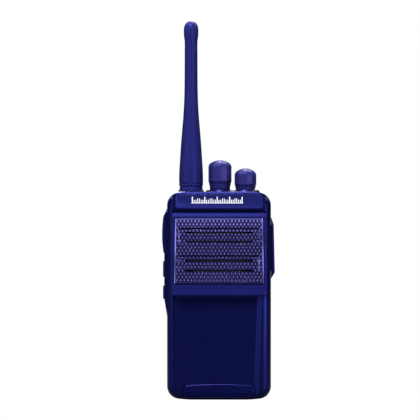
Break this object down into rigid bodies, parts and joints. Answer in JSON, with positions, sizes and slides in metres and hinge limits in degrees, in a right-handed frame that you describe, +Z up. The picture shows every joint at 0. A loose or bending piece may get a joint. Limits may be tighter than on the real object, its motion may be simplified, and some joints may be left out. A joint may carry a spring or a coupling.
{
  "type": "handheld aviation radio",
  "caption": "Handheld two-way airband radio with a whip antenna, two top knobs, side keys, a ribbed speaker grille, a slide-on battery and a belt clip.",
  "frame": {"origin": "middle of the housing's flat base, on the line that the antenna and knobs stand near", "axes": "+Z up along the antenna, +X to the right of a person facing the grille, +Y towards the belt clip"},
  "size_m": [0.062, 0.0417, 0.2085],
  "materials": {
    "housing_plastic": "fine satin moulded texture",
    "grille_plastic": "diamond knurl, satin",
    "cover_plastic": "satin",
    "plate_gloss": "semi-gloss plate with a plain printed band",
    "key_rubber": "soft-touch rubber",
    "knob_plastic": "satin with shallow flutes",
    "lens_clear": "frosted light pipe",
    "antenna_rubber": "matt thermoplastic rubber",
    "brass": "turned",
    "steel": "turned and plated",
    "spring_steel": "drawn wire",
    "die_cast": "die-cast, bead-blasted",
    "seal_rubber": "moulded",
    "circuit_board": "solder mask",
    "component_black": "moulded",
    "tin_plate": "tinned sheet",
    "gold_contact": "gold flash",
    "white_insulator": "smooth",
    "glass_fibre": "drawn rod",
    "cone_paper": "pulp paper",
    "magnet": "zinc-plated cup",
    "dust_cloth": "woven acoustic cloth",
    "battery_plastic": "fine moulded texture",
    "label_film": "blank printed film, no text",
    "cell_wrap": "shrink sleeve"
  },
  "bodies": {
    "radio": {"front_housing": "housing_plastic", "grille_bezel": "housing_plastic", "speaker_grille": "grille_plastic", "name_plate": "plate_gloss", "status_lens": "lens_clear", "key_bezel": "cover_plastic", "key_mat": "seal_rubber", "side_switch_board": "circuit_board", "dome_switches": "steel", "accessory_jack": "component_black", "cover_pin": "steel", "chassis": "die_cast", "chassis_seal": "seal_rubber", "chassis_screws": "steel", "main_board": "circuit_board", "shield_cans": "tin_plate", "board_components": "component_black", "contact_block": "component_black", "contact_pins": "gold_contact", "control_board": "circuit_board", "channel_switch": "component_black", "volume_control": "component_black", "control_nuts": "steel", "antenna_socket": "brass", "antenna_insulator": "white_insulator", "antenna_contact": "gold_contact", "latch_springs": "spring_steel", "clip_bracket": "battery_plastic", "clip_screws": "steel", "clip_pin": "steel", "clip_spring": "spring_steel", "speaker_basket": "tin_plate", "speaker_cone": "cone_paper", "speaker_magnet": "magnet", "speaker_dust_cloth": "dust_cloth", "microphone": "component_black", "microphone_boot": "seal_rubber"},
    "channel_rotor": {"channel_shaft": "steel", "channel_knob": "knob_plastic"},
    "volume_rotor": {"volume_shaft": "steel", "volume_knob": "knob_plastic"},
    "talk_key": {"ptt_key": "key_rubber"},
    "upper_key": {"side_key_upper": "key_rubber"},
    "lower_key": {"side_key_lower": "key_rubber"},
    "port_cover": {"accessory_cover": "cover_plastic"},
    "antenna_seal": {"antenna_washer": "antenna_rubber"},
    "antenna": {"antenna_stud": "brass", "antenna_collar": "antenna_rubber", "antenna_sheath": "antenna_rubber", "antenna_core": "glass_fibre", "antenna_winding": "spring_steel"},
    "latch": {"battery_latch": "cover_plastic"},
    "battery": {"battery_case": "battery_plastic", "battery_cover": "battery_plastic", "battery_label": "label_film", "battery_cells": "cell_wrap", "battery_board": "circuit_board", "battery_terminals": "gold_contact", "charge_contacts": "gold_contact"},
    "belt_clip": {"clip_lever": "battery_plastic"}
  },
  "joints": [
    {"name": "channel_turn", "type": "hinge", "parent": "radio", "child": "channel_rotor", "pos_m": [0.00055, -0.001, 0.115], "axis": [0, 0, -1], "range_deg": [0, 337.5]},
    {"name": "volume_turn", "type": "hinge", "parent": "radio", "child": "volume_rotor", "pos_m": [0.0146, -0.001, 0.115], "axis": [0, 0, -1], "range_deg": [0, 280]},
    {"name": "ptt_press", "type": "slide", "parent": "radio", "child": "talk_key", "axis": [1, 0, 0], "range_m": [0, 0.0012], "stiffness_N_per_m": 2500, "springref_m": -0.0005},
    {"name": "upper_key_press", "type": "slide", "parent": "radio", "child": "upper_key", "axis": [1, 0, 0], "range_m": [0, 0.0008], "stiffness_N_per_m": 2500, "springref_m": -0.0004},
    {"name": "lower_key_press", "type": "slide", "parent": "radio", "child": "lower_key", "axis": [1, 0, 0], "range_m": [0, 0.0008], "stiffness_N_per_m": 2500, "springref_m": -0.0004},
    {"name": "cover_swing", "type": "hinge", "parent": "radio", "child": "port_cover", "pos_m": [0.029, 0.0009, 0.084], "axis": [0, 0, 1], "range_deg": [0, 110]},
    {"name": "antenna_rise", "type": "slide", "parent": "radio", "child": "antenna_seal", "axis": [0, 0, 1], "range_m": [0, 0.0045]},
    {"name": "antenna_turn", "type": "hinge", "parent": "antenna_seal", "child": "antenna", "pos_m": [-0.0154, -0.001, 0.115], "axis": [0, 0, 1], "range_deg": [0, 2160]},
    {"name": "latch_pull", "type": "slide", "parent": "radio", "child": "latch", "axis": [0, -1, 0], "range_m": [0, 0.002], "stiffness_N_per_m": 1500, "springref_m": -0.001, "deforming": ["latch_springs"]},
    {"name": "battery_slide", "type": "slide", "parent": "radio", "child": "battery", "axis": [0, 0, -1], "range_m": [0, 0.01]},
    {"name": "clip_open", "type": "hinge", "parent": "radio", "child": "belt_clip", "pos_m": [0, 0.02, 0.104], "axis": [1, 0, 0], "range_deg": [0, 15], "stiffness_Nm_per_rad": 0.8, "springref_deg": -17.19, "deforming": ["clip_spring"]}
  ],
  "couplings": [
    {"joint": "antenna_rise", "follows": "antenna_turn", "m_per_rad": 0.00011937}
  ]
}
